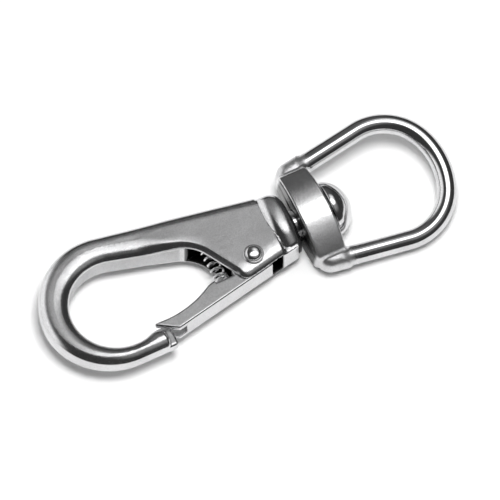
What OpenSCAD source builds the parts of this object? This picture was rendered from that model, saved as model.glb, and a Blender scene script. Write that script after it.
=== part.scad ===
// Swivel snap hook, cast in stainless steel, lying on its side.
// The X axis is the swivel axis and points from the hook to the eye. The Y axis lies in the flat
// of the hook and points to its spine. The origin is the middle of the eye's rounded end, at half
// the thickness. All sizes are in millimetres.

/* [Swivel eye] */
// Diameter of the round rod of the bow
rod_d = 4; // [3.4:0.1:4.4]
// Distance between the rod centres at the widest place of the bow
bow_w = 25.3; // [23:0.1:28]
// Distance from the origin to the rod centre at the far end
bow_end = 12; // [11:0.1:14]
// Lean of each leg of the bow away from the swivel axis, degrees
leg_lean = 8.8; // [5:0.1:11]
// Length of the collar along the swivel axis
collar_l = 6.8; // [6:0.1:7.4]
// Distance between the ends of the collar's raised band
band_w = 19.2; // [18:0.1:20]
// Thickness of the collar in the middle
collar_t = 11; // [10:0.1:12]
// Thickness of the collar at the ends of the band
band_t = 6; // [5.4:0.1:7]
// Roll of the eye about the swivel axis as it lies with one leg lower than the other, degrees
eye_roll = 12; // [0:1:20]

/* [Swivel pin] */
// Diameter of the shank that the collar turns on
shank_d = 6; // [5:0.1:7]
// Diameter of the domed head
head_d = 11.4; // [10:0.1:11.5]
// Height of the domed head
head_h = 4.8; // [4:0.1:5.5]
// Diameter of the tail that is peened inside the body
tail_d = 4; // [3:0.1:4.2]
// Running clearance between shank and collar, on the radius
shank_play = 0.05; // [0.02:0.01:0.1]
// Gap between the hook's shoulder and the collar
neck_gap = 1; // [0.8:0.1:1.6]

/* [Hook body] */
// Thickness of the flat body
body_t = 8; // [7.6:0.1:9]
// Width of the slot that takes the gate
slot_w = 5.2; // [4.8:0.1:5.6]
// Outer radius of the hook's bowl
bowl_r = 14.4; // [13.6:0.1:15]
// Distance from the origin to the centre of the bowl
bowl_x = 62.1; // [61:0.1:63.5]
// Width of the bowl's limb at its far side
limb_w = 5.8; // [5.3:0.1:6.2]
// Width of the limb where it joins the body
neck_w = 7; // [6.6:0.1:7.6]
// Thickness of the hook at its nose
nose_t = 5; // [4.6:0.1:5.4]
// Width of the shoulder at the swivel end
shoulder_w = 15.4; // [14.6:0.1:16]
// Thickness of the shoulder
shoulder_t = 10.4; // [10:0.1:11]
// Width of the bevel around the flat faces
bevel = 0.9; // [0.4:0.1:1.2]

/* [Gate] */
// Clearance between the gate and each wall of the slot
gate_play = 0.1; // [0.05:0.05:0.3]
// Distance from the rivet to the gate's outer face
gate_drop = 3.6; // [3.4:0.1:3.9]
// Opening between the two lips of the forked tip
fork_w = 2.5; // [2.2:0.1:3]
// Diameter of the rivet
rivet_d = 2.6; // [2.2:0.1:3]
// Diameter of the rivet's domed heads
rivet_head_d = 4.2; // [3.8:0.1:4.6]
// Clearance between the gate and its rivet, on the radius
rivet_play = 0.05; // [0.02:0.01:0.1]
// Distance from the origin back to the rivet
rivet_back = 32.1; // [31.6:0.1:32.6]
// Distance of the rivet from the swivel axis
rivet_off = 4.3; // [4.1:0.1:4.5]

/* [Spring] */
// Outer diameter of the coil
spring_d = 2.9; // [2.5:0.1:3.2]
// Diameter of the wire
wire_d = 0.5; // [0.4:0.05:0.6]
// Number of turns
turns = 7; // [5:1:8]

/* [Hidden] */
$fn = 64;

// Overlap that joins two shapes of one piece, and the gap that keeps two pieces apart
weld = 0.02;
fit = 0.05;

// Places along the swivel axis, from the collar back into the hook
collar_x1 = -13.5;
collar_x0 = collar_x1 - collar_l;
shoulder_x1 = collar_x0 - neck_gap;
shoulder_l = 3.3;
shoulder_x0 = shoulder_x1 - shoulder_l;
slot_end = shoulder_x0 - 2.1;

// ---- Shared formulas ----
function at(centre, radius, angle) = centre + radius * [cos(angle), sin(angle)];
function mix(a, b, share) = a + (b - a) * share;
function ease(share) =
    let (s = min(max(share, 0), 1))
    s * s * (3 - 2 * s);
function arc_points(centre, radius, from, to, steps) = [
    for (i = [0 : steps]) at(centre, radius, mix(from, to, i / steps))
];
// Angle at which a line falls from a round towards a point right of it, touching the round's top
function tangent_fall(point, centre, radius) =
    asin(radius / norm(point - centre)) - atan2(point[1] - centre[1], point[0] - centre[0]);
// Radius of a dome or crown from half its width and its height
function crown_radius(half_w, height) = (half_w * half_w + height * height) / (2 * height);

// A bar from x0 to x1 with the children as its section across the swivel axis
module along_axis(x0, x1) {
    translate([x0, 0, 0])
        rotate([90, 0, 90])
            linear_extrude(x1 - x0)
                children();
}

// An oval whose top and bottom are shallow arcs
module crowned(width, mid_t, end_t) {
    r = crown_radius(width / 2, (mid_t - end_t) / 2);
    intersection() {
        translate([0, mid_t / 2 - r])
            circle(r = r, $fn = 180);
        translate([0, r - mid_t / 2])
            circle(r = r, $fn = 180);
        square([width, mid_t + 1], center = true);
    }
}

// A plate lying along X whose far corners are rounded
module round_ended(length, half, corner) {
    translate([0, corner - half])
        square([length, 2 * (half - corner)]);
    translate([0, -half])
        square([length - corner, 2 * half]);
    for (side = [-1, 1])
        translate([length - corner, side * (half - corner)])
            circle(r = corner);
}

// ---- Swivel eye ----
corner_r = 11;
end_r = 15.5;
end_centre = [bow_end - end_r, 0];
corner_turn = asin((bow_w / 2 - corner_r) / (end_r - corner_r));
corner_centre = at(end_centre, end_r - corner_r, corner_turn);
leg_turn = 90 + leg_lean;
leg_top = at(corner_centre, corner_r, leg_turn);
collar_mid = (collar_x0 + collar_x1) / 2;
leg_foot = leg_top - (leg_top[0] - collar_mid) * [1, tan(leg_lean)];
// The ledges at the collar's ends stay just inside the sides of the legs
ledge_inset = 0.2;
ledge_t = rod_d + 0.6;

// Middle of the rod where the bow faces a given way: its end arc, or one of its two corner arcs
function bow_point(turn) = abs(turn) <= corner_turn
    ? at(end_centre, end_r, turn)
    : at([corner_centre[0], sign(turn) * corner_centre[1]], corner_r, turn);

function rod_ring(point, turn) =
    let (sides = 24)
    [
        for (i = [0 : sides - 1])
            let (out = rod_d / 2 * cos(360 * i / sides))
            [
                point[0] + out * cos(turn),
                point[1] + out * sin(turn),
                rod_d / 2 * sin(360 * i / sides)
            ]
    ];

module bow() {
    half_steps = 24;
    skin([
        rod_ring([leg_foot[0], -leg_foot[1]], -leg_turn),
        for (i = [-half_steps : half_steps])
            rod_ring(bow_point(leg_turn * i / half_steps), leg_turn * i / half_steps),
        rod_ring(leg_foot, leg_turn)
    ]);
}

function leg_side(x) =
    leg_top[1] - (leg_top[0] - x) * tan(leg_lean) + (rod_d / 2 - ledge_inset) / cos(leg_lean);

// The collar seen from above, with a flat face to the hook and a bowed face to the bow
module collar_plan() {
    face_r = 80;
    corner = 3;
    corner_x = collar_x0 + corner;
    corner_y = leg_side(corner_x) - corner / cos(leg_lean);
    past = collar_x1 + 1;
    intersection() {
        polygon(concat(
            arc_points([corner_x, corner_y], corner, 180, leg_turn, 8),
            [[past, leg_side(past)], [past, -leg_side(past)]],
            arc_points([corner_x, -corner_y], corner, -leg_turn, -180, 8)
        ));
        translate([collar_x1 - face_r, 0])
            circle(r = face_r, $fn = 360);
    }
}

module swivel_eye() {
    reach = [collar_x0 - 1, collar_x1 + 1];
    color("silver")
    rotate([eye_roll, 0, 0])
    difference() {
        union() {
            bow();
            intersection() {
                linear_extrude(2 * collar_t, center = true)
                    collar_plan();
                union() {
                    along_axis(reach[0], reach[1])
                        crowned(band_w, collar_t, band_t);
                    along_axis(reach[0], reach[1])
                        square([bow_w + rod_d, ledge_t], center = true);
                }
            }
        }
        along_axis(reach[0], reach[1])
            circle(d = shank_d + 2 * shank_play);
    }
}

// ---- Swivel pin ----
peen_h = 0.7;
peen_d = tail_d + 0.8;

module swivel_pin() {
    rim_h = 1;
    dome_h = head_h - rim_h;
    dome_r = crown_radius(head_d / 2, dome_h);
    head_x0 = collar_x1 + 3 * fit;
    color("gainsboro") {
        translate([head_x0, 0, 0])
            rotate([0, 90, 0]) {
                cylinder(d = head_d, h = rim_h);
                intersection() {
                    translate([0, 0, rim_h + dome_h - dome_r])
                        sphere(r = dome_r, $fn = 128);
                    cylinder(d = head_d, h = head_h);
                }
            }
        along_axis(shoulder_x1, head_x0 + weld)
            circle(d = shank_d);
        along_axis(slot_end - peen_h, shoulder_x1 + weld)
            circle(d = tail_d);
        along_axis(slot_end - peen_h, slot_end)
            circle(d = peen_d);
    }
}

// ---- Where the bowl, the spine and the nose run ----
bowl_c = [-bowl_x, 0];
hollow_shift = [0.8, -1];
inner_r = bowl_r - limb_w + hollow_shift[0];
inner_c = bowl_c + hollow_shift;
neck_reach = 14.6;
neck_x = neck_reach - bowl_x;
spine_end = [shoulder_x0, shoulder_w / 2 - 0.3];
spine_fall = tangent_fall(spine_end, bowl_c, bowl_r);
function spine_y(x) = spine_end[1] + (spine_end[0] - x) * tan(spine_fall);

neck_inner = [neck_x, spine_y(neck_x) - neck_w];
inner_fall = tangent_fall(neck_inner, inner_c, inner_r);
function inner_y(x) = neck_inner[1] + (neck_x - x) * tan(inner_fall);

nose_reach = 7.2;
tongue_l = 1.3;
nose_x = nose_reach - bowl_x;
tongue_x = nose_x + tongue_l;
tongue_t = fork_w - 0.4;

// ---- Where the gate and its spring stand ----
gate_t = slot_w - 2 * gate_play;
rivet = [-rivet_back, -rivet_off];
tip_past = 2.6;
tip_rise = 2.4;
tip_corner = [nose_x + tip_past, tip_rise - bowl_r];
gate_slope = atan2(rivet[1] - tip_corner[1], rivet[0] - tip_corner[0])
    - asin(gate_drop / norm(rivet - tip_corner));
// A place in the flat of the hook from its distance along and across the gate
function on_gate(along, across) = rivet + [
    along * cos(gate_slope) - across * sin(gate_slope),
    along * sin(gate_slope) + across * cos(gate_slope)
];
tip_along = (tip_corner[0] - rivet[0] - gate_drop * sin(gate_slope)) / cos(gate_slope);
gate_back = 0.75;
spring_back = 7.2;
spring_cover = 6.4;
seat_cut = 0.2;
spring_x = rivet[0] - spring_back;
spring_top = spine_y(spring_x) - spring_cover;
seat_y = on_gate(-spring_back, gate_back)[1] - seat_cut;

// ---- Hook body ----
// The lower edges of the cheeks carry on the line of the gate's outer face
function edge_y(x) = rivet[1] - gate_drop / cos(gate_slope) + (x - rivet[0]) * tan(gate_slope);

// Slices of the limb from the body round to the nose: outer point, inner point, thickness
spine_steps = 5;
bowl_steps = 36;
nose_steps = 8;
bowl_t = (body_t + nose_t) / 2 + 0.9;
neck_t = body_t - 2 * weld;
nose_rise = 0.9;
spine_foot = at(bowl_c, bowl_r, 90 - spine_fall)[0];
nose_inner = [inner_c[0], inner_c[1] - inner_r];
limb = [
    for (i = [0 : spine_steps - 1])
        let (
            share = i / spine_steps,
            x = mix(neck_x + 0.6, spine_foot, share)
        )
        [[x, spine_y(x) - weld], [x, inner_y(x) + weld], mix(neck_t, bowl_t, ease(share))],
    for (i = [0 : bowl_steps])
        let (share = i / bowl_steps)
        [
            at(bowl_c, bowl_r, mix(90 - spine_fall, 270, share)),
            at(inner_c, inner_r, mix(90 - inner_fall, 270, share)),
            mix(bowl_t, nose_t, share)
        ],
    for (i = [1 : nose_steps])
        let (share = i / nose_steps)
        [
            [mix(-bowl_x, tongue_x, share), -bowl_r],
            [mix(nose_inner[0], tongue_x, share), nose_inner[1] + nose_rise * ease(share * 1.7 - 0.3)],
            nose_t
        ]
];

// Outline of one slice, a rounded rectangle between its outer and inner point
slice_sides = 24;
squareness = 3.2;
function squared(v) = sign(v) * pow(abs(v), 2 / squareness);
function slice_points(slice) = [
    for (i = [0 : slice_sides - 1])
        let (
            angle = 360 * (i + 0.5) / slice_sides,
            place = mix(slice[1], slice[0], (1 + squared(cos(angle))) / 2)
        )
        [place[0], place[1], slice[2] / 2 * squared(sin(angle))]
];

// Closed skin over rings of equally many points
module skin(rings) {
    count = len(rings[0]);
    last = len(rings) - 1;
    walls = [
        for (r = [0 : last - 1], i = [0 : count - 1])
            let (next = (i + 1) % count)
            [r * count + i, r * count + next, (r + 1) * count + next, (r + 1) * count + i]
    ];
    ends = [
        [for (i = [count - 1 : -1 : 0]) i],
        [for (i = [0 : count - 1]) last * count + i]
    ];
    polyhedron([for (ring = rings) each ring], concat(walls, ends), convexity = 10);
}

// The lug is the cheeks' rounded corner beside the rivet. A steep wall rises from it and bends
// into the inner wall of the spine
lug_r = 2.2;
lug_x = rivet[0] - 2.3;
lug_c = [lug_x, edge_y(lug_x) + lug_r / cos(gate_slope)];
wall_lean = 61.5;
bend_r = 8;
wall_out = [-sin(wall_lean), -cos(wall_lean)];
wall_up = [-cos(wall_lean), sin(wall_lean)];
bend_foot = lug_c + (lug_r + bend_r) * wall_out;
bend_rise = (inner_y(bend_foot[0]) - bend_r / cos(inner_fall) - bend_foot[1])
    / (wall_up[1] - cos(wall_lean) * tan(inner_fall));
bend_c = bend_foot + bend_rise * wall_up;

// Outline of the flat body, drawn in from its edges by an inset
function body_ring(inset, z) =
    let (x = shoulder_x0 + bevel / 2 - inset)
    [
        for (p = concat(
            [
                [neck_x, inner_y(neck_x) + inset / cos(inner_fall)],
                [neck_x, spine_y(neck_x) - inset / cos(spine_fall)],
                [x, spine_y(x) - inset / cos(spine_fall)],
                [x, edge_y(x) + inset / cos(gate_slope)]
            ],
            arc_points(lug_c, lug_r - inset, 270 + gate_slope, 270 - wall_lean, 8),
            arc_points(bend_c, bend_r + inset, 90 - wall_lean, 90 - inner_fall, 8)
        ))
        [p[0], p[1], z]
    ];

// Space for the gate, its tail and the spring
module slot_plan() {
    mouth_x = spring_x - 4.6;
    roof = peen_d / 2 + 0.4;
    below = 3;
    polygon([
        [mouth_x, inner_y(mouth_x) - 0.4],
        [spring_x - 2.2, spring_top],
        [spring_x + 2.2, spring_top],
        [rivet[0], roof],
        [slot_end, roof],
        [slot_end, edge_y(slot_end) - below],
        [neck_x, edge_y(neck_x) - below]
    ]);
}

// Oval end of the body, rounded over towards the collar and cut level with the gate's side
module shoulder() {
    round_r = 2;
    barrel_r = 3;
    side_t = 5;
    from_x = shoulder_x0 - 1;
    to_x = shoulder_x1 + 1;
    intersection() {
        linear_extrude(2 * shoulder_t, center = true)
            polygon([
                [from_x, edge_y(from_x) + fit],
                [to_x, edge_y(to_x) + fit],
                [to_x, shoulder_w],
                [from_x, shoulder_w]
            ]);
        along_axis(shoulder_x0, shoulder_x1)
            crowned(shoulder_w + 1, shoulder_t, side_t);
        translate([shoulder_x0 - round_r, 0, 0])
            rotate([90, 0, 0])
                linear_extrude(2 * shoulder_w, center = true)
                    round_ended(shoulder_l + round_r, shoulder_t / 2 + 0.1, round_r);
        translate([shoulder_x0 - barrel_r, 0, 0])
            rotate([0, 90, 0])
                rotate_extrude($fn = 128)
                    intersection() {
                        rotate(90)
                            round_ended(shoulder_l + barrel_r, shoulder_w / 2, barrel_r);
                        square(2 * shoulder_w);
                    }
    }
}

// Above and below its tongue the nose is cut back along the gate's slanted tip
tip_inner = on_gate(tip_along - 3.75, 0.1);
tip_turn = atan2(tip_corner[1] - tip_inner[1], tip_corner[0] - tip_inner[0]);
tip_gap = 0.2;

module nose_cut() {
    for (side = [-1, 1])
        translate([0, 0, side * (tongue_t + nose_t) / 2])
            linear_extrude(nose_t, center = true) {
                translate(tip_inner)
                    rotate(tip_turn)
                        translate([-2, -tip_gap])
                            square([12, 6]);
                translate([nose_x, -bowl_r - 1])
                    square([4, limb_w]);
            }
}

module hook_body() {
    color("lightsteelblue")
    difference() {
        union() {
            difference() {
                skin([
                    body_ring(bevel, -body_t / 2),
                    body_ring(0, bevel - body_t / 2),
                    body_ring(0, body_t / 2 - bevel),
                    body_ring(bevel, body_t / 2)
                ]);
                linear_extrude(slot_w, center = true)
                    slot_plan();
            }
            shoulder();
            difference() {
                skin([for (slice = limb) slice_points(slice)]);
                nose_cut();
            }
        }
        translate([rivet[0], rivet[1], 0])
            cylinder(d = rivet_d, h = 2 * body_t, center = true);
        along_axis(slot_end - peen_h, shoulder_x1 + 1)
            circle(d = tail_d);
    }
}

// ---- Gate ----
module gate_blank() {
    boss_r = 3;
    tail_l = 2.35;
    hollow_r = 21;
    hollow_c = on_gate(-18.3, hollow_r - 0.6);
    difference() {
        union() {
            translate([rivet[0], rivet[1], 0])
                rotate([0, 0, gate_slope])
                    linear_extrude(gate_t, center = true)
                        polygon([
                            [tip_along - 3.75, 0.1],
                            [tip_along - 3.3, 0.3],
                            [-12, 0.6],
                            [-11, gate_back],
                            [-5, gate_back],
                            [0, boss_r - 0.1],
                            [tail_l, 0],
                            [tail_l, -gate_drop],
                            [tip_along, -gate_drop]
                        ]);
            translate([rivet[0], rivet[1], 0])
                cylinder(r = boss_r, h = gate_t, center = true);
        }
        translate([hollow_c[0], hollow_c[1], 0])
            cylinder(r = hollow_r, h = 2 * gate_t, center = true, $fn = 240);
    }
}

// Notch in the gate's back with a crowned floor, where the spring stands
module spring_seat() {
    floor_r = crown_radius(gate_t / 2, 1);
    notch = [4, 5];
    difference() {
        translate([spring_x - notch[0] / 2, seat_y - notch[1] / 2, -gate_t])
            cube([notch[0], notch[1], 2 * gate_t]);
        translate([spring_x - notch[0], seat_y - floor_r, 0])
            rotate([0, 90, 0])
                cylinder(r = floor_r, h = 2 * notch[0]);
    }
}

module gate() {
    fork_end = tip_along + 1.8;
    color("slategray")
    difference() {
        gate_blank();
        linear_extrude(fork_w, center = true)
            translate(on_gate(fork_end, -2 * gate_drop))
                rotate(gate_slope + 90)
                    square(4 * gate_drop);
        translate([rivet[0], rivet[1], 0])
            cylinder(d = rivet_d + 2 * rivet_play, h = 2 * gate_t, center = true);
        spring_seat();
    }
}

// ---- Rivet ----
module gate_rivet() {
    dome_h = 0.9;
    dome_r = crown_radius(rivet_head_d / 2, dome_h);
    rim_h = 0.15;
    color("white")
    translate([rivet[0], rivet[1], 0]) {
        cylinder(d = rivet_d, h = body_t + rim_h, center = true);
        for (side = [0, 1])
            mirror([0, 0, side])
                translate([0, 0, body_t / 2]) {
                    cylinder(d = rivet_head_d, h = rim_h);
                    intersection() {
                        translate([0, 0, rim_h + dome_h - dome_r])
                            sphere(r = dome_r, $fn = 96);
                        cylinder(d = rivet_head_d, h = rim_h + dome_h);
                    }
                }
    }
}

// ---- Spring ----
// The first and the last turn lie close to their neighbours, the turns between are evenly open
coil_r = (spring_d - wire_d) / 2;
coil_y0 = seat_y + wire_d / 2 + fit;
coil_y1 = spring_top - wire_d / 2 - fit;
closed_pitch = wire_d + fit;
open_pitch = (coil_y1 - coil_y0 - 2 * closed_pitch) / (turns - 2);
function coil_y(turn) = coil_y0
    + closed_pitch * min(turn, 1)
    + open_pitch * min(max(turn - 1, 0), turns - 2)
    + closed_pitch * max(turn - turns + 1, 0);

module gate_spring() {
    turn_steps = 18;
    wire_sides = 8;
    color("goldenrod")
    skin([
        for (step = [0 : turns * turn_steps])
            let (turn = step / turn_steps)
            [
                for (i = [0 : wire_sides - 1])
                    let (
                        round = 360 * i / wire_sides,
                        r = coil_r + wire_d / 2 * cos(round)
                    )
                    [
                        spring_x + r * cos(360 * turn),
                        coil_y(turn) - wire_d / 2 * sin(round),
                        r * sin(360 * turn)
                    ]
            ]
    ]);
}

hook_body();
gate();
gate_rivet();
gate_spring();
swivel_pin();
swivel_eye();
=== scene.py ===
import math

import bpy
import numpy as np
from mathutils import Matrix, Vector


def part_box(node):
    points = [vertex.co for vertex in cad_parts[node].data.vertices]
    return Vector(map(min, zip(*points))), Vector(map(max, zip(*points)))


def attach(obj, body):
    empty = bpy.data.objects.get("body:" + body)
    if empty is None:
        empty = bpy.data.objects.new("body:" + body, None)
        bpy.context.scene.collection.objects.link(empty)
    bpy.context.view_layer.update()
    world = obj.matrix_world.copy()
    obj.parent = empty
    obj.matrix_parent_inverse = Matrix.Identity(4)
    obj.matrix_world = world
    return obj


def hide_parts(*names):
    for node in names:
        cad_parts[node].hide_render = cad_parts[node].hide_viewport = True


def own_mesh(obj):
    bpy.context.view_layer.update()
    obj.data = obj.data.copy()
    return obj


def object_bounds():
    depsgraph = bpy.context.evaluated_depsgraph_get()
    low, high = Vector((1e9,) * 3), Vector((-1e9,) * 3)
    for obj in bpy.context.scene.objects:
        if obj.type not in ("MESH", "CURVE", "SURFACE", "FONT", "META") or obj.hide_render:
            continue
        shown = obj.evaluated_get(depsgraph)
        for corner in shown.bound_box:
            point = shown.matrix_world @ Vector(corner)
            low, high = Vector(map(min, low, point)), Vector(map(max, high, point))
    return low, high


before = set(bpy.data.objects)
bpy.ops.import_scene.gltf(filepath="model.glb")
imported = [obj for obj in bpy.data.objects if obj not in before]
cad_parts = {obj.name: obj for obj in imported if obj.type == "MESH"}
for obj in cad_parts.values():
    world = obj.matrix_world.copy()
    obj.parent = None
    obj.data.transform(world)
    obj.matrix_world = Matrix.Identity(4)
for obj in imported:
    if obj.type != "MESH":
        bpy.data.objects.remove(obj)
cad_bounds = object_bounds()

# The swivel snap hook dressed in polished and satin stainless steel. Every rigid piece is worked
# out as a distance field from the sizes of its CAD node, then skinned with a fine mesh, so that
# its edges are rounded as on a tumbled casting. Lengths are millimetres until a mesh is made.
MM = 0.001


def box_mm(node):
    """The lowest and the highest corner of a CAD node's box."""
    low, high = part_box(node)
    return np.array(low) / MM, np.array(high) / MM


# ---- Sizes read from the CAD ----
hook_low, hook_high = box_mm("hook_body")
eye_low, eye_high = box_mm("swivel_eye")
pin_low, pin_high = box_mm("swivel_pin")
rivet_low, rivet_high = box_mm("gate_rivet")
spring_low, spring_high = box_mm("gate_spring")
gate_low, gate_high = box_mm("gate")


# ---- Distance fields ----
# A field is negative inside the solid and grows by one for each millimetre outwards.
def in_both(a, b, r):
    """What is inside both, with the edge between them rounded."""
    beside_edge = np.minimum(np.maximum(a + r, b + r), 0)
    round_edge = np.hypot(np.maximum(a + r, 0), np.maximum(b + r, 0))
    return beside_edge + round_edge - r


def in_either(a, b, r):
    """What is inside either, with the corner between them filled."""
    return -in_both(-a, -b, r)


def without(a, b, r):
    """What is inside the first only, with the rim of the cut rounded."""
    return in_both(a, -b, r)


def ease(share):
    """Goes smoothly from 0 to 1 as the share does, and stays there beyond."""
    s = np.clip(share, 0, 1)
    return s * s * (3 - 2 * s)


def mix(a, b, share):
    return a + (b - a) * share


def crown_radius(half_width, height):
    """The radius of a crown from half its width and its height."""
    return (half_width ** 2 + height ** 2) / (2 * height)


class Outline:
    """A closed outline, anticlockwise, from its corners (x, y, radius of the corner)."""

    def __init__(self, corners):
        places = [np.array(c[:2], float) for c in corners]
        count = len(corners)
        self.arcs = []
        leave, arrive, ways = [], [], []
        for i, (x, y, r) in enumerate(corners):
            way_in = self.unit(places[i] - places[i - 1])
            way_out = self.unit(places[(i + 1) % count] - places[i])
            turn = math.atan2(
                way_in[0] * way_out[1] - way_in[1] * way_out[0], float(way_in @ way_out)
            )
            reach = r * math.tan(abs(turn) / 2)
            side = math.copysign(1, turn)
            arrive.append(places[i] - way_in * reach)
            leave.append(places[i] + way_out * reach)
            ways.append(way_out)
            centre = arrive[i] + r * side * np.array([-way_in[1], way_in[0]])
            if r > 0:
                middle = self.unit(places[i] - centre)
                self.arcs.append((centre, r, middle, math.cos(turn / 2), side))
        self.lines = [
            (leave[i], ways[i], max(float((arrive[(i + 1) % count] - leave[i]) @ ways[i]), 0))
            for i in range(count)
        ]

    @staticmethod
    def unit(v):
        return v / np.hypot(*v)

    def distance(self, x, y):
        """The distance to the nearest line or corner arc, negative inside."""
        best = np.full(np.broadcast(x, y).shape, 1e6)
        for start, way, length in self.lines:
            along = np.clip((x - start[0]) * way[0] + (y - start[1]) * way[1], 0, length)
            off_x = x - start[0] - along * way[0]
            off_y = y - start[1] - along * way[1]
            outside = np.sign(way[1] * (x - start[0]) - way[0] * (y - start[1]))
            d = np.hypot(off_x, off_y) * np.where(outside == 0, 1, outside)
            best = np.where(np.abs(d) < np.abs(best), d, best)
        for centre, r, middle, spread, side in self.arcs:
            rho = np.hypot(x - centre[0], y - centre[1])
            faces = (x - centre[0]) * middle[0] + (y - centre[1]) * middle[1] >= rho * spread
            d = side * (rho - r)
            best = np.where(faces & (np.abs(d) < np.abs(best)), d, best)
        return best


# ---- Skin over a field ----
def surface_net(field, low, high, step):
    """Vertices and quads of the surface where a field is zero."""
    counts = np.ceil((high - low) / step).astype(int) + 1
    axes = [low[i] + step * np.arange(counts[i]) for i in range(3)]
    values = field(axes[0][:, None, None], axes[1][None, :, None], axes[2][None, None, :])
    values = np.where(values == 0, 1e-9, values)
    cells = tuple(counts - 1)
    total = np.zeros(cells + (3,))
    hits = np.zeros(cells)
    crossings = []
    for axis in range(3):
        first = [slice(None)] * 3
        second = [slice(None)] * 3
        first[axis] = slice(None, -1)
        second[axis] = slice(1, None)
        a, b = values[tuple(first)], values[tuple(second)]
        cut = (a < 0) != (b < 0)
        share = np.where(cut, a / np.where(cut, a - b, 1), 0)
        crossings.append((axis, cut, a < 0))
        others = [o for o in range(3) if o != axis]
        for i in (0, 1):
            for j in (0, 1):
                pick = [slice(None)] * 3
                pick[others[0]] = slice(i, counts[others[0]] - 1 + i)
                pick[others[1]] = slice(j, counts[others[1]] - 1 + j)
                c = cut[tuple(pick)]
                hits += c
                total[..., axis] += np.where(c, share[tuple(pick)], 0)
                total[..., others[0]] += c * i
                total[..., others[1]] += c * j
    active = hits > 0
    number = np.full(cells, -1)
    number[active] = np.arange(active.sum())
    places = np.argwhere(active)
    vertices = low + step * (places + total[active] / hits[active][:, None])
    quads = []
    for axis, cut, start_inside in crossings:
        u, v = [(1, 2), (2, 0), (0, 1)][axis]
        at = np.argwhere(cut)
        past_start = (at[:, u] > 0) & (at[:, v] > 0)
        before_end = (at[:, u] < counts[u] - 1) & (at[:, v] < counts[v] - 1)
        at = at[past_start & before_end]
        flip = start_inside[tuple(at.T)]
        ring = []
        for du, dv in ((1, 1), (0, 1), (0, 0), (1, 0)):
            cell = at.copy()
            cell[:, u] -= du
            cell[:, v] -= dv
            ring.append(number[tuple(cell.T)])
        ring = np.stack(ring, axis=1)
        quads.append(np.where(flip[:, None], ring, ring[:, ::-1]))
    return vertices, np.concatenate(quads)


def slope_of(field, points, reach):
    """The field's slope at each point, from its change over a short reach."""
    x, y, z = points.T
    return np.stack([
        field(x + reach, y, z) - field(x - reach, y, z),
        field(x, y + reach, z) - field(x, y - reach, z),
        field(x, y, z + reach) - field(x, y, z - reach),
    ], axis=1) / (2 * reach)


def settle(field, vertices, step, rounds=3):
    """Moves each vertex straight onto the surface, by less than half a step each round."""
    least_slope = 0.2
    for _ in range(rounds):
        slope = slope_of(field, vertices, 0.02)
        size = np.maximum((slope ** 2).sum(axis=1), least_slope ** 2)
        move = slope * (field(*vertices.T) / size)[:, None]
        longest = np.maximum(np.linalg.norm(move, axis=1), 1e-9)
        vertices = vertices - move * np.minimum(1, 0.4 * step / longest)[:, None]
    return vertices


def new_object(name, vertices, faces, normals=None, marks=None):
    """A smooth mesh object from points in millimetres, with a value per point for each mark."""
    mesh = bpy.data.meshes.new(name)
    mesh.from_pydata((vertices * MM).tolist(), [], faces.tolist())
    mesh.polygons.foreach_set("use_smooth", np.ones(len(mesh.polygons), bool))
    for mark, value in (marks or {}).items():
        layer = mesh.attributes.new(mark, "FLOAT", "POINT")
        layer.data.foreach_set("value", np.asarray(value, np.float32))
    if normals is not None:
        mesh.normals_split_custom_set_from_vertices(normals.tolist())
    mesh.update()
    piece = bpy.data.objects.new(name, mesh)
    bpy.context.scene.collection.objects.link(piece)
    return piece


def skinned(name, field, box, step, marks):
    """A mesh object on the surface of a field, with the field's own slope as its normals."""
    low, high = box
    room = 2.5 * step
    vertices, quads = surface_net(field, low - room, high + room, step)
    vertices = settle(field, vertices, step)
    normals = slope_of(field, vertices, 0.03)
    normals /= np.maximum(np.linalg.norm(normals, axis=1), 1e-9)[:, None]
    return new_object(name, vertices, quads, normals, marks(vertices, normals))


# ---- Where the parts of the hook run ----
# Here W is a width in the flat of the hook, HALF half a size, R a radius and X0, X1 the ends of a
# part along the swivel axis
BOWL_R = -hook_low[1]
BOWL = np.array([hook_low[0] + BOWL_R, 0.0])
LIMB_W = 5.8
LIMB_HALF = 3.7
HOLLOW_SHIFT = np.array([0.8, -1.0])
INNER_R = BOWL_R - LIMB_W + HOLLOW_SHIFT[0]
INNER = BOWL + HOLLOW_SHIFT
SHOULDER_X1 = hook_high[0]
SHOULDER_X0 = SHOULDER_X1 - 3.3
SHOULDER_W = 15.4
SHOULDER_TOP = hook_high[2]
BEAD_HALF = 2.6
BEAD_DEPTH = 1.7
CROWN_Y = 2.0
SLOT_END = SHOULDER_X0 - 2.1
BODY_HALF = 4.0
SLOT_HALF = 2.6
NECK_X = BOWL[0] + 14.6
NECK_W = 7.0
NOSE_X = BOWL[0] + 7.2
NOSE_HALF = 2.5
TONGUE_X = NOSE_X + 1.3
TONGUE_HALF = 1.05
RIVET = (rivet_low[:2] + rivet_high[:2]) / 2
RIVET_R = 1.3
RIVET_PLAY = 0.05
GATE_DROP = 3.6
GATE_HALF = 2.5
SPRING_X = (spring_low[0] + spring_high[0]) / 2
SPRING_COVER = 6.4
SHANK_R = 3.0
SHANK_PLAY = 0.05
TAIL_R = 2.0


def tangent_fall(point, centre, radius):
    """How a line falls from a round to a point on its right, in radians."""
    rise = math.atan2(point[1] - centre[1], point[0] - centre[0])
    return math.asin(radius / math.dist(point, centre)) - rise


SPINE_END = np.array([SHOULDER_X0, SHOULDER_W / 2 - 0.3])
SPINE_FALL = tangent_fall(SPINE_END, BOWL, BOWL_R)


def spine_y(x):
    """Y of the spine, the hook's outer edge between the bowl and the shoulder."""
    return SPINE_END[1] + (SPINE_END[0] - x) * math.tan(SPINE_FALL)


NECK_INNER = np.array([NECK_X, spine_y(NECK_X) - NECK_W])
INNER_FALL = tangent_fall(NECK_INNER, INNER, INNER_R)


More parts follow.
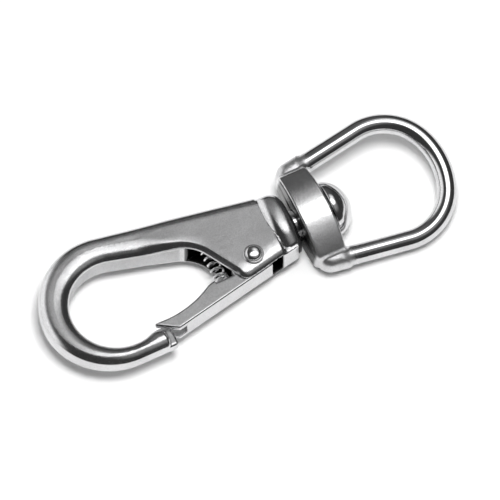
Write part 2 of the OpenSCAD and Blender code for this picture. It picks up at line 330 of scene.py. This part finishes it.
def inner_y(x):
    """Y of the upper limb's edge on the hollow side."""
    return NECK_INNER[1] + (NECK_X - x) * math.tan(INNER_FALL)


TIP_CORNER = np.array([NOSE_X + 2.6, 2.4 - BOWL_R])
tip_x, tip_y = RIVET - TIP_CORNER
GATE_SLOPE = math.atan2(tip_y, tip_x) - math.asin(GATE_DROP / math.dist(RIVET, TIP_CORNER))
GATE_WAY = np.array([math.cos(GATE_SLOPE), math.sin(GATE_SLOPE)])
GATE_UP = np.array([-GATE_WAY[1], GATE_WAY[0]])
TIP_ALONG = float((TIP_CORNER - RIVET) @ GATE_WAY)


def on_gate(along, across):
    """A place in the flat of the hook from its distance along and across the gate."""
    return RIVET + along * GATE_WAY + across * GATE_UP


def edge_y(x):
    """Y of the line on which the gate's outer face and the cheeks' lower edges lie."""
    return RIVET[1] - GATE_DROP / math.cos(GATE_SLOPE) + (x - RIVET[0]) * math.tan(GATE_SLOPE)


def crossing(point, way, other, other_way):
    """Where two straight lines cross."""
    cross = way[0] * other_way[1] - way[1] * other_way[0]
    gap = other - point
    return point + way * (gap[0] * other_way[1] - gap[1] * other_way[0]) / cross


# ---- Hook body ----
LUG_R = 2.2
LUG_X = RIVET[0] - 2.3
LUG = np.array([LUG_X, edge_y(LUG_X) + LUG_R / math.cos(GATE_SLOPE)])
WALL_LEAN = math.radians(61.5)
WALL_OUT = np.array([-math.sin(WALL_LEAN), -math.cos(WALL_LEAN)])
WALL_UP = np.array([-math.cos(WALL_LEAN), math.sin(WALL_LEAN)])
INNER_WAY = np.array([-math.cos(INNER_FALL), math.sin(INNER_FALL)])
wall_foot = LUG + LUG_R * WALL_OUT
lug_corner = crossing(wall_foot, WALL_UP, np.array([LUG_X, edge_y(LUG_X)]), GATE_WAY)
bend_corner = crossing(wall_foot, WALL_UP, NECK_INNER, INNER_WAY)
PLATE_X = SHOULDER_X0 - 1.1
bowl_left = BOWL[0] - BOWL_R
hollow_left = INNER[0] - INNER_R
hollow_low = INNER[1] - INNER_R
# The nose is a little wider than the limb before it, on the hollow side
nose_rise = 0.9

hook_outline = Outline([
    (bowl_left, -BOWL_R, BOWL_R),
    (TONGUE_X, -BOWL_R, 0.7),
    (TONGUE_X, hollow_low + nose_rise, 0.7),
    (BOWL[0] + 5.0, hollow_low + nose_rise, 5),
    (BOWL[0] + 2.4, hollow_low, 6),
    (hollow_left, hollow_low, INNER_R),
    (hollow_left, inner_y(hollow_left), INNER_R),
    (*bend_corner, 8),
    (*lug_corner, LUG_R),
    (SHOULDER_X0 + 2, edge_y(SHOULDER_X0 + 2), 0.3),
    (SHOULDER_X0 + 2, spine_y(SHOULDER_X0 + 2), 1.2),
    (bowl_left, spine_y(bowl_left), BOWL_R),
])

slot_mouth = SPRING_X - 4.6
slot_roof = 2.8
slot_past = 6.0
pocket_top = spine_y(SPRING_X) - SPRING_COVER
pocket_half = 2.2
slot_outline = Outline([
    (slot_mouth, inner_y(slot_mouth) - 3.0, 0.3),
    (slot_mouth + 1.0, edge_y(NECK_X) - slot_past, 0.3),
    (SLOT_END, edge_y(SLOT_END) - slot_past, 0.3),
    (SLOT_END, slot_roof, 0.5),
    (RIVET[0], slot_roof, 0.5),
    (SPRING_X + pocket_half, pocket_top, 0.5),
    (SPRING_X - pocket_half, pocket_top, 0.8),
    (slot_mouth, inner_y(slot_mouth) - 0.4, 0.3),
])

# The gate's tip is a slanted edge from its outer corner to its inner end
TIP_BACK = 3.75
TIP_UP = 0.1
tip_inner = on_gate(TIP_ALONG - TIP_BACK, TIP_UP)
TIP_WAY = Outline.unit(TIP_CORNER - tip_inner)
TIP_GAP = 0.2


def round_share(x, y):
    """0 on the straight part of the limb, growing to 1 at the bottom of the bowl."""
    turn = np.degrees(np.arctan2(y - BOWL[1], x - BOWL[0]))
    turn = np.mod(turn + 20, 360) - 20
    start = 90 - math.degrees(SPINE_FALL)
    return np.clip((turn - start) / (270 - start), 0, 1)


def limb_depth(x, y):
    """How deep a place lies inside the outer edge of the limb."""
    round_part = BOWL_R - np.hypot(x - BOWL[0], y - BOWL[1])
    past_x = (x - SPINE_END[0]) * math.sin(SPINE_FALL)
    past_y = (y - SPINE_END[1]) * math.cos(SPINE_FALL)
    on_round = (round_share(x, y) > 0) | (x < BOWL[0])
    return np.where(on_round, round_part, -(past_x + past_y))


def shoulder_field(x, y, z):
    """The oval shoulder: a rounded bead around a barrel, flush with the gate's outer face."""
    crown_r = crown_radius(SHOULDER_W / 2 + 0.5, SHOULDER_TOP - 2.5)
    oval = np.hypot(y - CROWN_Y, np.abs(z) + crown_r - SHOULDER_TOP) - crown_r
    arch = (x - SHOULDER_X1 + BEAD_HALF) * BEAD_DEPTH / BEAD_HALF
    bead = np.hypot(arch, np.maximum(oval + BEAD_DEPTH, 0)) - BEAD_DEPTH
    barrel = in_both(x - SHOULDER_X1, np.hypot(y, z) - SHOULDER_W / 2, 3)
    return in_both(in_both(bead, barrel, 0.5), edge_y(x) - y, 1.2)


def hook_field(x, y, z):
    height = np.abs(z)
    # 0 on the flat cheeks, growing to 1 on the limb
    neck = ease((NECK_X + 6 - x) / 11)
    share = round_share(x, y)
    half = mix(mix(BODY_HALF, LIMB_HALF, neck), NOSE_HALF, share)
    # The edges' rounding goes on further over the top where the flatness is lower, as on the limb's
    # hollow side. The cheeks' lower edges are the crispest
    across = ease((limb_depth(x, y) - 1.6) / 1.6)
    gate_side = ease((edge_y(x) + 3.2 - y) / 1.6)
    edge_r = mix(mix(1.4, 0.75, gate_side), mix(1.75, 2.1, share), neck)
    outer_flatness = mix(0.6, 0.7, neck)
    inner_flatness = mix(mix(1, 0.6, gate_side), mix(0.42, 0.75, share), neck)
    flatness = mix(outer_flatness, inner_flatness, across)
    inset = hook_outline.distance(x, y)
    # The flat cheeks fall away a little before their edges
    fall = 0.16 * ease(1 + inset / 2.6) + np.maximum(edge_y(x) + 4 - y, 0) ** 2 / 20
    solid = in_both(inset * flatness, height - half + fall * (1 - neck), edge_r)
    plate_end = in_both(solid, x - PLATE_X, 0.8)
    # The cheeks end before the shoulder's bead, except beside the slot's open side, where they run
    # on into it
    below = ease((edge_y(x) + 1.6 - y) / 0.8) * ease((3.2 - height) / 0.6)
    solid = np.where(x > SLOT_END - 1, mix(plate_end, solid, below), solid)
    # The nose is full only up to the gate's tip, and its tongue reaches further
    beyond_tip = (y - tip_inner[1]) * TIP_WAY[0] - (x - tip_inner[0]) * TIP_WAY[1] + TIP_GAP
    full = np.maximum(beyond_tip, x - NOSE_X)
    full_nose = in_both(solid, full, 1.1)
    tongue = in_both(solid, height - TONGUE_HALF, 0.4)
    nose = np.minimum(full_nose, tongue)
    at_nose = (x > BOWL[0] + 2) & (x < TONGUE_X + 2) & (y < -6)
    solid = np.where(at_nose, nose, solid)
    slot = np.maximum(slot_outline.distance(x, y), height - SLOT_HALF)
    solid = without(solid, slot, 0.3)
    solid = without(solid, np.hypot(x - RIVET[0], y - RIVET[1]) - RIVET_R, 0.05)
    solid = in_either(solid, shoulder_field(x, y, z), 0.1)
    bore = np.maximum(np.hypot(y, z) - TAIL_R, SLOT_END - 1 - x)
    return without(solid, bore, 0.1)


# ---- Gate ----
# Places on the gate are along it and across it from the rivet
GATE_HOLLOW_R = 21
GATE_TAIL = 2.35
GATE_BOSS_R = 3
GATE_BACK = 0.75
gate_outline = Outline([
    (TIP_ALONG, -GATE_DROP, 0.4),
    (GATE_TAIL, -GATE_DROP, 0.4),
    (GATE_TAIL, 0, 0.8),
    (0, 2.9, 1.5),
    (-5, GATE_BACK, 2),
    (-11.5, GATE_BACK, 1),
    (TIP_ALONG - 3.3, 0.3, 0.3),
    (TIP_ALONG - TIP_BACK, TIP_UP, 0.3),
])
SEAT_Y = spring_low[1] - 0.05
NOTCH_HALF = 2.0
FORK_HALF = 1.25
FORK_DEPTH = 1.8


def gate_field(x, y, z):
    height = np.abs(z)
    along = (x - RIVET[0]) * GATE_WAY[0] + (y - RIVET[1]) * GATE_WAY[1]
    up = (x - RIVET[0]) * GATE_UP[0] + (y - RIVET[1]) * GATE_UP[1]
    plan = in_either(gate_outline.distance(along, up), np.hypot(along, up) - GATE_BOSS_R, 0.2)
    hollow = np.hypot(along + 18.3, up - GATE_HOLLOW_R + 0.6) - GATE_HOLLOW_R
    plan = without(plan, hollow, 0.3)
    solid = in_both(plan, height - GATE_HALF, 0.45)
    fork = np.maximum(height - FORK_HALF, along - TIP_ALONG - FORK_DEPTH)
    solid = without(solid, fork, 0.2)
    solid = without(solid, np.hypot(along, up) - RIVET_R - RIVET_PLAY, 0.05)
    # The spring stands in a notch with a crowned floor
    floor_r = crown_radius(GATE_HALF, 1)
    notch = np.maximum(floor_r - np.hypot(y - SEAT_Y + floor_r, z), SEAT_Y - 2 - y)
    notch = np.maximum(notch, np.abs(x - SPRING_X) - NOTCH_HALF)
    return without(solid, notch, 0.2)


# ---- Swivel eye ----
def turned(angle):
    """A way of length one in the flat of the eye, at an angle from +X."""
    return np.array([math.cos(angle), math.sin(angle)])


ROD_R = 2.0
ROLL = math.radians(12)
END_R = 15.5
END_X = eye_high[0] - ROD_R - END_R
CORNER_R = 11.0
LEG_LEAN = math.radians(8.8)
bow_half = (eye_high[1] - ROD_R) / math.cos(ROLL)
CORNER_TURN = math.asin((bow_half - CORNER_R) / (END_R - CORNER_R))
CORNER = np.array([END_X, 0]) + (END_R - CORNER_R) * turned(CORNER_TURN)
LEG_TURN = math.pi / 2 + LEG_LEAN
LEG_TOP = CORNER + CORNER_R * turned(LEG_TURN)
LEG_WAY = -turned(LEG_LEAN)
COLLAR_X0 = eye_low[0]
COLLAR_X1 = COLLAR_X0 + 6.8
COLLAR_TOP = 5.5
BAND_HALF = 9.6
BAND_END_TOP = 3.0
LEDGE_TOP = 2.25
FACE_BOW_R = 80.0
LEG_L = (LEG_TOP[0] - COLLAR_X0 - 3) / math.cos(LEG_LEAN)


def eye_field(x, y, z):
    # The eye lies rolled about the swivel axis, so it is worked out in its own upright frame
    y, z = y * math.cos(ROLL) + z * math.sin(ROLL), z * math.cos(ROLL) - y * math.sin(ROLL)
    height = np.abs(z)
    side = np.abs(y)
    # The bow's rod: its end arc, its corner arcs and its straight legs
    turn = np.arctan2(side, x - END_X)
    far = 1e3
    end = np.where(turn <= CORNER_TURN, np.abs(np.hypot(x - END_X, side) - END_R), far)
    off_x, off_y = x - CORNER[0], side - CORNER[1]
    turn = np.arctan2(off_y, off_x)
    on_corner = (turn >= CORNER_TURN) & (turn <= LEG_TURN)
    corner = np.where(on_corner, np.abs(np.hypot(off_x, off_y) - CORNER_R), far)
    off_x, off_y = x - LEG_TOP[0], side - LEG_TOP[1]
    along = np.clip(off_x * LEG_WAY[0] + off_y * LEG_WAY[1], 0, LEG_L)
    leg = np.hypot(off_x - along * LEG_WAY[0], off_y - along * LEG_WAY[1])
    bow = np.hypot(np.minimum(np.minimum(end, corner), leg), z) - ROD_R
    # The collar: a crowned band on a flatter plate that carries the legs
    bowed = np.hypot(x - COLLAR_X1 + FACE_BOW_R, y) - FACE_BOW_R
    flank = off_x * LEG_WAY[1] - off_y * LEG_WAY[0] - ROD_R + 0.1
    plan = in_both(np.maximum(bowed, flank), COLLAR_X0 - x, 2.8)
    crown_r = crown_radius(BAND_HALF, COLLAR_TOP - BAND_END_TOP)
    crown = np.hypot(y, height + crown_r - COLLAR_TOP) - crown_r
    band_end = 0.92 * (side - BAND_HALF) + 0.39 * (height - 2.6)
    band = in_both(crown, band_end, 0.3)
    ledge = in_both(plan, height - LEDGE_TOP, 1.6)
    solid = in_either(in_both(plan, band, 0.55), ledge, 0.3)
    solid = in_either(solid, bow, 1.2)
    bore = np.maximum(np.hypot(y, z) - SHANK_R - SHANK_PLAY, x - COLLAR_X1 - 1)
    return without(solid, bore, 0.3)


# ---- Swivel pin and rivet ----
PEEN_R = 2.4
BUTTON_R = 4.2
BUTTON_SHARE = 0.8
BUTTON_OFF = 0.6
RIM_DROP = 0.65


def pin_field(x, y, z):
    out = np.hypot(y, z)
    head_x0 = COLLAR_X1 + 0.15
    head_r = pin_high[1]
    dome_r = crown_radius(head_r, pin_high[0] - head_x0 - 1)
    dome = np.hypot(out, x - pin_high[0] + dome_r) - dome_r
    head = in_both(np.maximum(dome, head_x0 - x), out - head_r, 0.25)
    shank = np.maximum(out - SHANK_R, np.maximum(SHOULDER_X1 - x, x - head_x0 - 0.5))
    tail = np.maximum(out - TAIL_R, np.maximum(pin_low[0] - x, x - SHOULDER_X1 - 0.5))
    peen = in_both(out - PEEN_R, np.maximum(pin_low[0] - x, x - SLOT_END), 0.2)
    return np.minimum(np.minimum(head, shank), np.minimum(tail, peen))


def rivet_field(x, y, z):
    out = np.hypot(x - RIVET[0], y - RIVET[1])
    height = np.abs(z)
    head_r = (rivet_high[0] - rivet_low[0]) / 2
    # The hammered button is highest a little off its middle, and stands on a flatter rim
    off = np.hypot(x - RIVET[0], y - RIVET[1] - BUTTON_OFF)
    dome = np.hypot(off, height - rivet_high[2] + BUTTON_R) - BUTTON_R
    button = in_both(dome, out - BUTTON_SHARE * head_r, 0.5)
    rim = in_both(height - rivet_high[2] + RIM_DROP, out - head_r, 0.2)
    head = np.maximum(np.minimum(button, rim), BODY_HALF - 0.5 - height)
    return np.minimum(head, np.maximum(out - RIVET_R, height - BODY_HALF - 0.1))


# ---- Spring ----
def coil(low, high, turns=7, wire=0.5, steps=40, sides=14):
    """A helix of wire standing along Y, its first and last turn closed."""
    radius = (high[0] - low[0]) / 2 - wire / 2
    start, end = low[1] + wire / 2, high[1] - wire / 2
    closed = wire + 0.05
    open_pitch = (end - start - 2 * closed) / (turns - 2)
    turn = np.arange(turns * steps + 1) / steps
    rise = closed * np.minimum(turn, 1) + open_pitch * np.clip(turn - 1, 0, turns - 2)
    rise = rise + closed * np.maximum(turn - turns + 1, 0)
    angle = 2 * math.pi * turn
    round_wire = 2 * math.pi * np.arange(sides) / sides
    reach = radius + wire / 2 * np.cos(round_wire)[None, :]
    height = start + rise[:, None] - wire / 2 * np.sin(round_wire)[None, :]
    points = np.stack([
        SPRING_X + reach * np.cos(angle)[:, None],
        height,
        reach * np.sin(angle)[:, None],
    ], axis=2)
    rings = np.arange(len(turn) * sides).reshape(len(turn), sides)
    here, there = rings[:-1], rings[1:]
    walls = np.stack([here, np.roll(here, -1, 1), np.roll(there, -1, 1), there], axis=2)
    walls = walls.reshape(-1, 4)
    # Each end is closed by quads across the wire
    ends = []
    for ring in (rings[0][::-1], rings[-1]):
        for i in range(sides // 2 - 1):
            ends.append([ring[i], ring[i + 1], ring[sides - 2 - i], ring[sides - 1 - i]])
    return points.reshape(-1, 3), np.concatenate([walls, np.array(ends)])


# ---- Materials ----
def nodes_of(name):
    """A new material, its node tree and its shader."""
    material = bpy.data.materials.new(name)
    material.use_nodes = True
    tree = material.node_tree
    return material, tree, tree.nodes["Principled BSDF"]


def add(tree, kind, inputs=None, **settings):
    """A node whose inputs are set to values or linked to other nodes' outputs."""
    node = tree.nodes.new(kind)
    for key, value in settings.items():
        setattr(node, key, value)
    for key, value in (inputs or {}).items():
        if isinstance(value, bpy.types.NodeSocket):
            tree.links.new(value, node.inputs[key])
        else:
            node.inputs[key].default_value = value
    return node


def noise(tree, scale, detail=2.0, rough=0.5):
    spot = add(tree, "ShaderNodeTexCoord").outputs["Object"]
    return add(
        tree,
        "ShaderNodeTexNoise",
        {"Vector": spot, "Scale": scale, "Detail": detail, "Roughness": rough},
    ).outputs["Fac"]


def blend(tree, share, a, b):
    return add(tree, "ShaderNodeMix", {"Factor": share, "A": a, "B": b}).outputs["Result"]


def mark_on(tree, name):
    """The value that a mark has on the mesh."""
    return add(tree, "ShaderNodeAttribute", attribute_name=name).outputs["Fac"]


def ranged(tree, value, low, high, to_low, to_high):
    return add(
        tree,
        "ShaderNodeMapRange",
        {"Value": value, "From Min": low, "From Max": high, "To Min": to_low, "To Max": to_high},
    ).outputs["Result"]


def ramp(tree, value, low, low_colour, high, high_colour):
    """A colour that goes from one to the other between two values."""
    node = add(tree, "ShaderNodeValToRGB", {"Fac": value})
    for stop, at, colour in zip(node.color_ramp.elements, (low, high), (low_colour, high_colour)):
        stop.position = at
        stop.color = (*colour, 1)
    return node.outputs["Color"]


def steel(name, polish, satin, cast=0.5, tint=(0.99, 0.99, 1.0), bright=0.72):
    """Stainless steel: polished, but satin or rough where the piece is marked so, and darker where
    it is marked with painted shade or a darker cast tone.
    """
    material, tree, shader = nodes_of(name)
    fine = noise(tree, 1100, 5.0, 0.75)
    cloud = noise(tree, 170, 3.0, 0.55)
    grain = noise(tree, 4200, 2.0, 0.6)
    satin_mark = mark_on(tree, "satin")
    cast_mark = mark_on(tree, "cast")
    polished = ranged(tree, cloud, 0.3, 0.7, polish * 0.8, polish * 1.25)
    dull = ranged(tree, fine, 0.3, 0.7, satin * 0.8, satin * 1.2)
    rough = blend(tree, cast_mark, blend(tree, satin_mark, polished, dull), cast)
    tree.links.new(rough, shader.inputs["Roughness"])
    dark, pale = [tuple(bright * v * c for c in tint) for v in (0.8, 1.0)]
    colour = ramp(tree, blend(tree, 0.6, cloud, grain), 0.4, dark, 0.6, pale)
    # Painted shade darkens the colour in the slot and in the gaps between parts; on the cast inner
    # wall the same mark gives a slightly darker tone
    shade_and_tone_scale = ranged(tree, mark_on(tree, "painted_shade_and_cast_tone"), 0.0, 1.0, 1.0, 0.08)
    colour = add(
        tree, "ShaderNodeVectorMath", {0: colour, "Scale": shade_and_tone_scale}, operation="SCALE"
    ).outputs["Vector"]
    tree.links.new(colour, shader.inputs["Base Color"])
    shader.inputs["Metallic"].default_value = 1.0
    depth = add(tree, "ShaderNodeMath", {0: satin_mark, 1: 0.5}, operation="MULTIPLY").outputs[0]
    depth = add(tree, "ShaderNodeMath", {0: cast_mark, 1: depth}, operation="MAXIMUM").outputs[0]
    relief = add(
        tree, "ShaderNodeBump", {"Strength": depth, "Distance": 0.0001, "Height": fine}
    ).outputs["Normal"]
    tree.links.new(relief, shader.inputs["Normal"])
    return material


satin_steel = steel("satin_cast_steel", polish=0.15, satin=0.38)
bright_steel = steel("bright_turned_steel", polish=0.1, satin=0.4)
spring_steel = steel("spring_wire_steel", polish=0.25, satin=0.3, bright=0.85)


# ---- Pieces ----
def facing_up(normals):
    return ease((np.abs(normals[:, 2]) - 0.9) / 0.095)


def plain_marks(points, normals):
    return {mark: np.zeros(len(points)) for mark in ("satin", "cast", "painted_shade_and_cast_tone")}


def hook_marks(points, normals):
    x, y, z = points.T
    upright = ease((0.12 - np.abs(normals[:, 2])) / 0.1)
    to_inside = ease((limb_depth(x, y) - 4.2) / 0.6) * ease((NECK_X + 3.5 - x) / 1.0)
    inner_wall = upright * to_inside
    low_limb = ease((round_share(x, y) - 0.45) / 0.15)
    # Painted shade darkens the slot and the end face beside the collar, where shade falls between
    # the parts, and the cast inner wall is a little darker in tone
    between_cheeks = ease((SLOT_HALF + 0.25 - np.abs(z)) / 0.2)
    in_slot = ease((0.25 - slot_outline.distance(x, y)) / 0.2) * between_cheeks
    end_face = ease((normals[:, 0] - 0.9) / 0.08) * ease((x - SHOULDER_X1 + 0.6) / 0.4)
    return {
        "satin": facing_up(normals),
        "cast": inner_wall * (1 - low_limb),
        "painted_shade_and_cast_tone": np.maximum(np.maximum(in_slot, end_face), 0.15 * inner_wall),
    }


def gate_marks(points, normals):
    return {**plain_marks(points, normals), "satin": facing_up(normals)}


def eye_marks(points, normals):
    x, y, z = points.T
    across = y * math.cos(ROLL) + z * math.sin(ROLL)
    side = np.abs(across)
    # The legs' feet are satin, and so is the band, most on its lower half
    foot = ease((side - BAND_HALF + 0.4) / 0.6) * ease((COLLAR_X1 + 2 - x) / 2.5)
    worn = mix(0.4, 1.0, ease((-across - 1) / 3))
    band = worn * ease((BAND_HALF - side) / 0.4) * ease((COLLAR_X1 + 0.3 - x) / 0.5)
    # Painted shade darkens the collar's face beside the hook, in the gap between the parts
    hook_face = ease((-normals[:, 0] - 0.5) / 0.3) * ease((COLLAR_X0 + 1.8 - x) / 0.8)
    hook_face = hook_face * ease((BAND_HALF - 0.5 - side) / 1.0)
    return {**plain_marks(points, normals), "satin": foot + band, "painted_shade_and_cast_tone": hook_face}


def place(piece, node, body, material):
    """Gives a piece its material and lets it stand for a CAD node on a body."""
    piece.data.materials.append(material)
    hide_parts(node)
    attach(piece, body)


QUICK = 1.0
hook = skinned("hook_casting", hook_field, (hook_low, hook_high), 0.23 * QUICK, hook_marks)
place(hook, "hook_body", "hook", satin_steel)
gate = skinned("gate_lever", gate_field, (gate_low, gate_high), 0.17 * QUICK, gate_marks)
place(gate, "gate", "gate", satin_steel)
eye = skinned("swivel_eye_bow", eye_field, (eye_low, eye_high), 0.2 * QUICK, eye_marks)
place(eye, "swivel_eye", "eye", bright_steel)
pin = skinned("swivel_pin_head", pin_field, (pin_low, pin_high), 0.14 * QUICK, plain_marks)
place(pin, "swivel_pin", "hook", bright_steel)
rivet = skinned("rivet_round_head", rivet_field, (rivet_low, rivet_high), 0.1 * QUICK, plain_marks)
place(rivet, "gate_rivet", "hook", bright_steel)

coil_points, coil_faces = coil(spring_low, spring_high)
spring = new_object("gate_coil_spring", coil_points, coil_faces)
place(spring, "gate_spring", "hook", spring_steel)
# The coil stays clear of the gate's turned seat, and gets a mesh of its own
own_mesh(spring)

# ---- Studio ----
FLOOR_Z = cad_bounds[0][2]


def floor_sheet():
    """A wide pale sheet under the hook."""
    half = 1500.0
    z = FLOOR_Z / MM
    corners = np.array([[-half, -half, z], [half, -half, z], [half, half, z], [-half, half, z]])
    sheet = new_object("studio_floor", corners, np.array([[0, 1, 2, 3]]))
    material, tree, shader = nodes_of("studio_paper")
    shade = ramp(tree, noise(tree, 3.0), 0.3, (0.9,) * 3, 0.7, (0.92,) * 3)
    tree.links.new(shade, shader.inputs["Base Color"])
    shader.inputs["Roughness"].default_value = 0.9
    shader.inputs["Specular IOR Level"].default_value = 0.0
    sheet.data.materials.append(material)


def paper_light(way, width, power):
    """A square light that falls on the paper and isn't mirrored by the steel."""
    lamp = bpy.data.lights.new("paper_light", "AREA")
    lamp.shape = "SQUARE"
    lamp.size = width
    lamp.energy = power
    holder = bpy.data.objects.new("paper_light", lamp)
    holder.location = LIGHTS_AROUND + LIGHTS_AWAY * way
    holder.rotation_euler = (-way).to_track_quat("-Z", "Y").to_euler()
    holder.visible_camera = False
    holder.visible_glossy = False
    bpy.context.scene.collection.objects.link(holder)


def towards(azimuth, elevation):
    """The direction at an angle from +X about the vertical, and at a height above the horizon."""
    a, e = math.radians(azimuth), math.radians(elevation)
    return Vector((math.cos(a) * math.cos(e), math.sin(a) * math.cos(e), math.sin(e)))


floor_sheet()

# The paper has lights of its own: one small and one wide, each with its azimuth, elevation, width
# and power
LIGHTS_AROUND = Vector((-0.0315, 0, 0))
LIGHTS_AWAY = 0.6
PAPER_LIGHTS = ((-90, 80, 0.2, 3.2), (90, 75, 1.5, 4.6))
for azimuth, elevation, width, power in PAPER_LIGHTS:
    paper_light(towards(azimuth, elevation), width, power)

# The room that the steel mirrors: dark walls with soft oval patches of light. Each patch has the
# azimuth and elevation of its middle, its half width and half height, its softness and its light
PATCHES = (
    (-8, 78, 0.21, 0.36, 0.35, 2.8),
    (140, 3, 0.68, 0.68, 0.2, 1.15),
    (32, 60, 0.2, 0.17, 0.8, 1.1),
    (-50, 60, 0.3, 0.3, 0.8, 0.3),
    (75, 45, 0.4, 0.4, 0.8, 0.07),
)
WALLS = 0.05
world = bpy.data.worlds.new("studio_room")
world.use_nodes = True
room = world.node_tree
ray = add(room, "ShaderNodeTexCoord").outputs["Generated"]


def ray_along(way):
    """How far the ray into the room goes along a way."""
    node = add(room, "ShaderNodeVectorMath", {0: ray, 1: way}, operation="DOT_PRODUCT")
    return node.outputs["Value"]


def worked(operation, *values):
    """The output of a Math node in the room's tree."""
    return add(room, "ShaderNodeMath", dict(enumerate(values)), operation=operation).outputs[0]


def oval_patch(azimuth, elevation, half_w, half_h, softness, strength):
    """The light of a soft oval patch in the room."""
    ahead = towards(azimuth, elevation)
    sideways = towards(azimuth + 90, 0)
    share_w = worked("DIVIDE", ray_along(sideways), half_w)
    share_h = worked("DIVIDE", ray_along(ahead.cross(sideways)), half_h)
    square_w = worked("MULTIPLY", share_w, share_w)
    square_h = worked("MULTIPLY", share_h, share_h)
    patch = add(
        room,
        "ShaderNodeMapRange",
        {
            "Value": worked("SQRT", worked("ADD", square_w, square_h)),
            "From Min": 1 + softness,
            "From Max": 1 - softness,
            "To Min": 0.0,
            "To Max": strength,
        },
        interpolation_type="SMOOTHSTEP",
    ).outputs["Result"]
    return worked("MULTIPLY", patch, worked("GREATER_THAN", ray_along(ahead), 0.0))


light = WALLS
for patch in PATCHES:
    light = worked("ADD", oval_patch(*patch), light)
room.links.new(light, room.nodes["Background"].inputs["Color"])
bpy.context.scene.world = world
world.cycles_visibility.diffuse = False
bpy.context.scene.view_settings.view_transform = "Standard"

# ---- Camera ----
# The camera looks down on the flat of the hook from far away, so that lines stay nearly parallel.
# VIEW_W is the width of the picture at AIM, in metres like DISTANCE.
TURN = math.radians(26.5)
HEIGHT = math.radians(62)
VIEW_W = 0.1006
DISTANCE = 2.0
AIM = Vector((-0.03135, -0.00125, 0))
forward = Vector((
    math.sin(TURN) * math.cos(HEIGHT),
    math.cos(TURN) * math.cos(HEIGHT),
    -math.sin(HEIGHT),
))
right = Vector((math.cos(TURN), -math.sin(TURN), 0))
lens = bpy.data.cameras.new("camera")
lens.sensor_width = 36
lens.lens = lens.sensor_width * DISTANCE / VIEW_W
lens.clip_start = 0.1
lens.clip_end = 20
camera = bpy.data.objects.new("camera", lens)
turned_to_aim = Matrix((right, right.cross(forward), -forward)).transposed().to_4x4()
camera.matrix_world = Matrix.Translation(AIM - forward * DISTANCE) @ turned_to_aim
bpy.context.scene.collection.objects.link(camera)
bpy.context.scene.camera = camera
